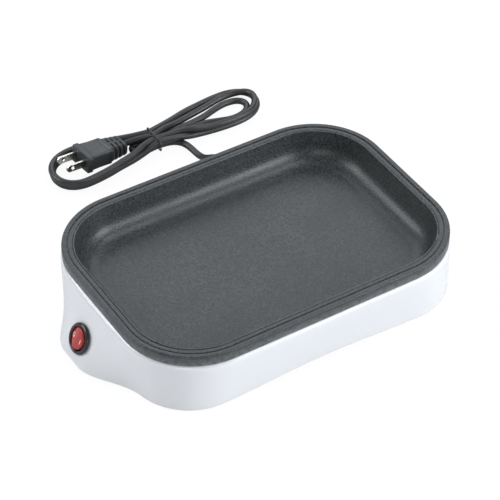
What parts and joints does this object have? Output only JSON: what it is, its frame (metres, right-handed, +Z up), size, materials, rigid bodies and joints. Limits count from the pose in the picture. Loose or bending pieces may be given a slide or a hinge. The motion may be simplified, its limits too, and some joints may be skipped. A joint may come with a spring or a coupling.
{
  "type": "electric griddle",
  "caption": "Small rectangular electric griddle: coated lift-out pan on a white heated base with an end-mounted round rocker switch and a tied mains cord.",
  "frame": {"origin": "on the supporting surface, under the centre of the griddle without its cord", "axes": "+X along the long side away from the switch pod, +Y towards the side that the cord leaves, +Z up"},
  "size_m": [0.28, 0.3003, 0.051],
  "materials": {
    "white_plastic": "gloss, moulded",
    "pan_coating": "matt pebbled non-stick coating on cast aluminium",
    "base_steel": "satin",
    "pod_cover_plastic": "matt",
    "foot_rubber": "matt",
    "screw_steel": "bright",
    "switch_black": "satin",
    "rocker_red": "translucent gloss",
    "lamp_glass": "clear",
    "terminal_brass": "plain",
    "element_sheath": "oxidised",
    "ceramic": "matt ceramic",
    "tray_aluminium": "bright",
    "thermostat_black": "matt",
    "wire_black": "satin",
    "wire_white": "satin",
    "cap_nylon": "satin",
    "cord_rubber": "satin",
    "tie_wire": "satin",
    "plug_rubber": "satin",
    "blade_metal": "nickel plated"
  },
  "bodies": {
    "base": {"body_shell": "white_plastic", "base_plate": "base_steel", "pod_cover": "pod_cover_plastic", "switch_bezel": "switch_black", "switch_lamp": "lamp_glass", "switch_terminal_1": "terminal_brass", "switch_terminal_2": "terminal_brass", "switch_terminal_3": "terminal_brass", "heater_element": "element_sheath", "heater_bushing_rear": "ceramic", "heater_bushing_front": "ceramic", "heater_pin_rear": "base_steel", "heater_pin_front": "base_steel", "reflector_tray": "tray_aluminium", "heater_clamp_left": "base_steel", "heater_clamp_right": "base_steel", "heater_clamp_front": "base_steel", "thermostat": "thermostat_black", "thermal_fuse": "ceramic", "wire_live": "wire_black", "wire_neutral": "wire_white", "crimp_cap": "cap_nylon", "cord_strain_relief": "cord_rubber", "cord_clamp": "base_steel", "power_cord": "cord_rubber", "cord_hank": "cord_rubber", "cord_tie": "tie_wire", "plug_body": "plug_rubber", "plug_blade_1": "blade_metal", "plug_blade_2": "blade_metal", "foot_front_left": "foot_rubber", "base_screw_front_left": "screw_steel", "tray_spacer_front_left": "base_steel", "foot_front_right": "foot_rubber", "base_screw_front_right": "screw_steel", "tray_spacer_front_right": "base_steel", "foot_rear_left": "foot_rubber", "base_screw_rear_left": "screw_steel", "tray_spacer_rear_left": "base_steel", "foot_rear_right": "foot_rubber", "base_screw_rear_right": "screw_steel", "tray_spacer_rear_right": "base_steel"},
    "pan": {"pan": "pan_coating"},
    "rocker": {"switch_rocker": "rocker_red"}
  },
  "joints": [
    {"name": "pan_lift", "type": "slide", "parent": "base", "child": "pan", "axis": [0, 0, 1], "range_m": [0, 0.06]},
    {"name": "switch_rock", "type": "hinge", "parent": "base", "child": "rocker", "pos_m": [-0.12952, 0.004, 0.01579], "axis": [0.4462, 0, 0.8949], "range_deg": [0, 14]}
  ]
}
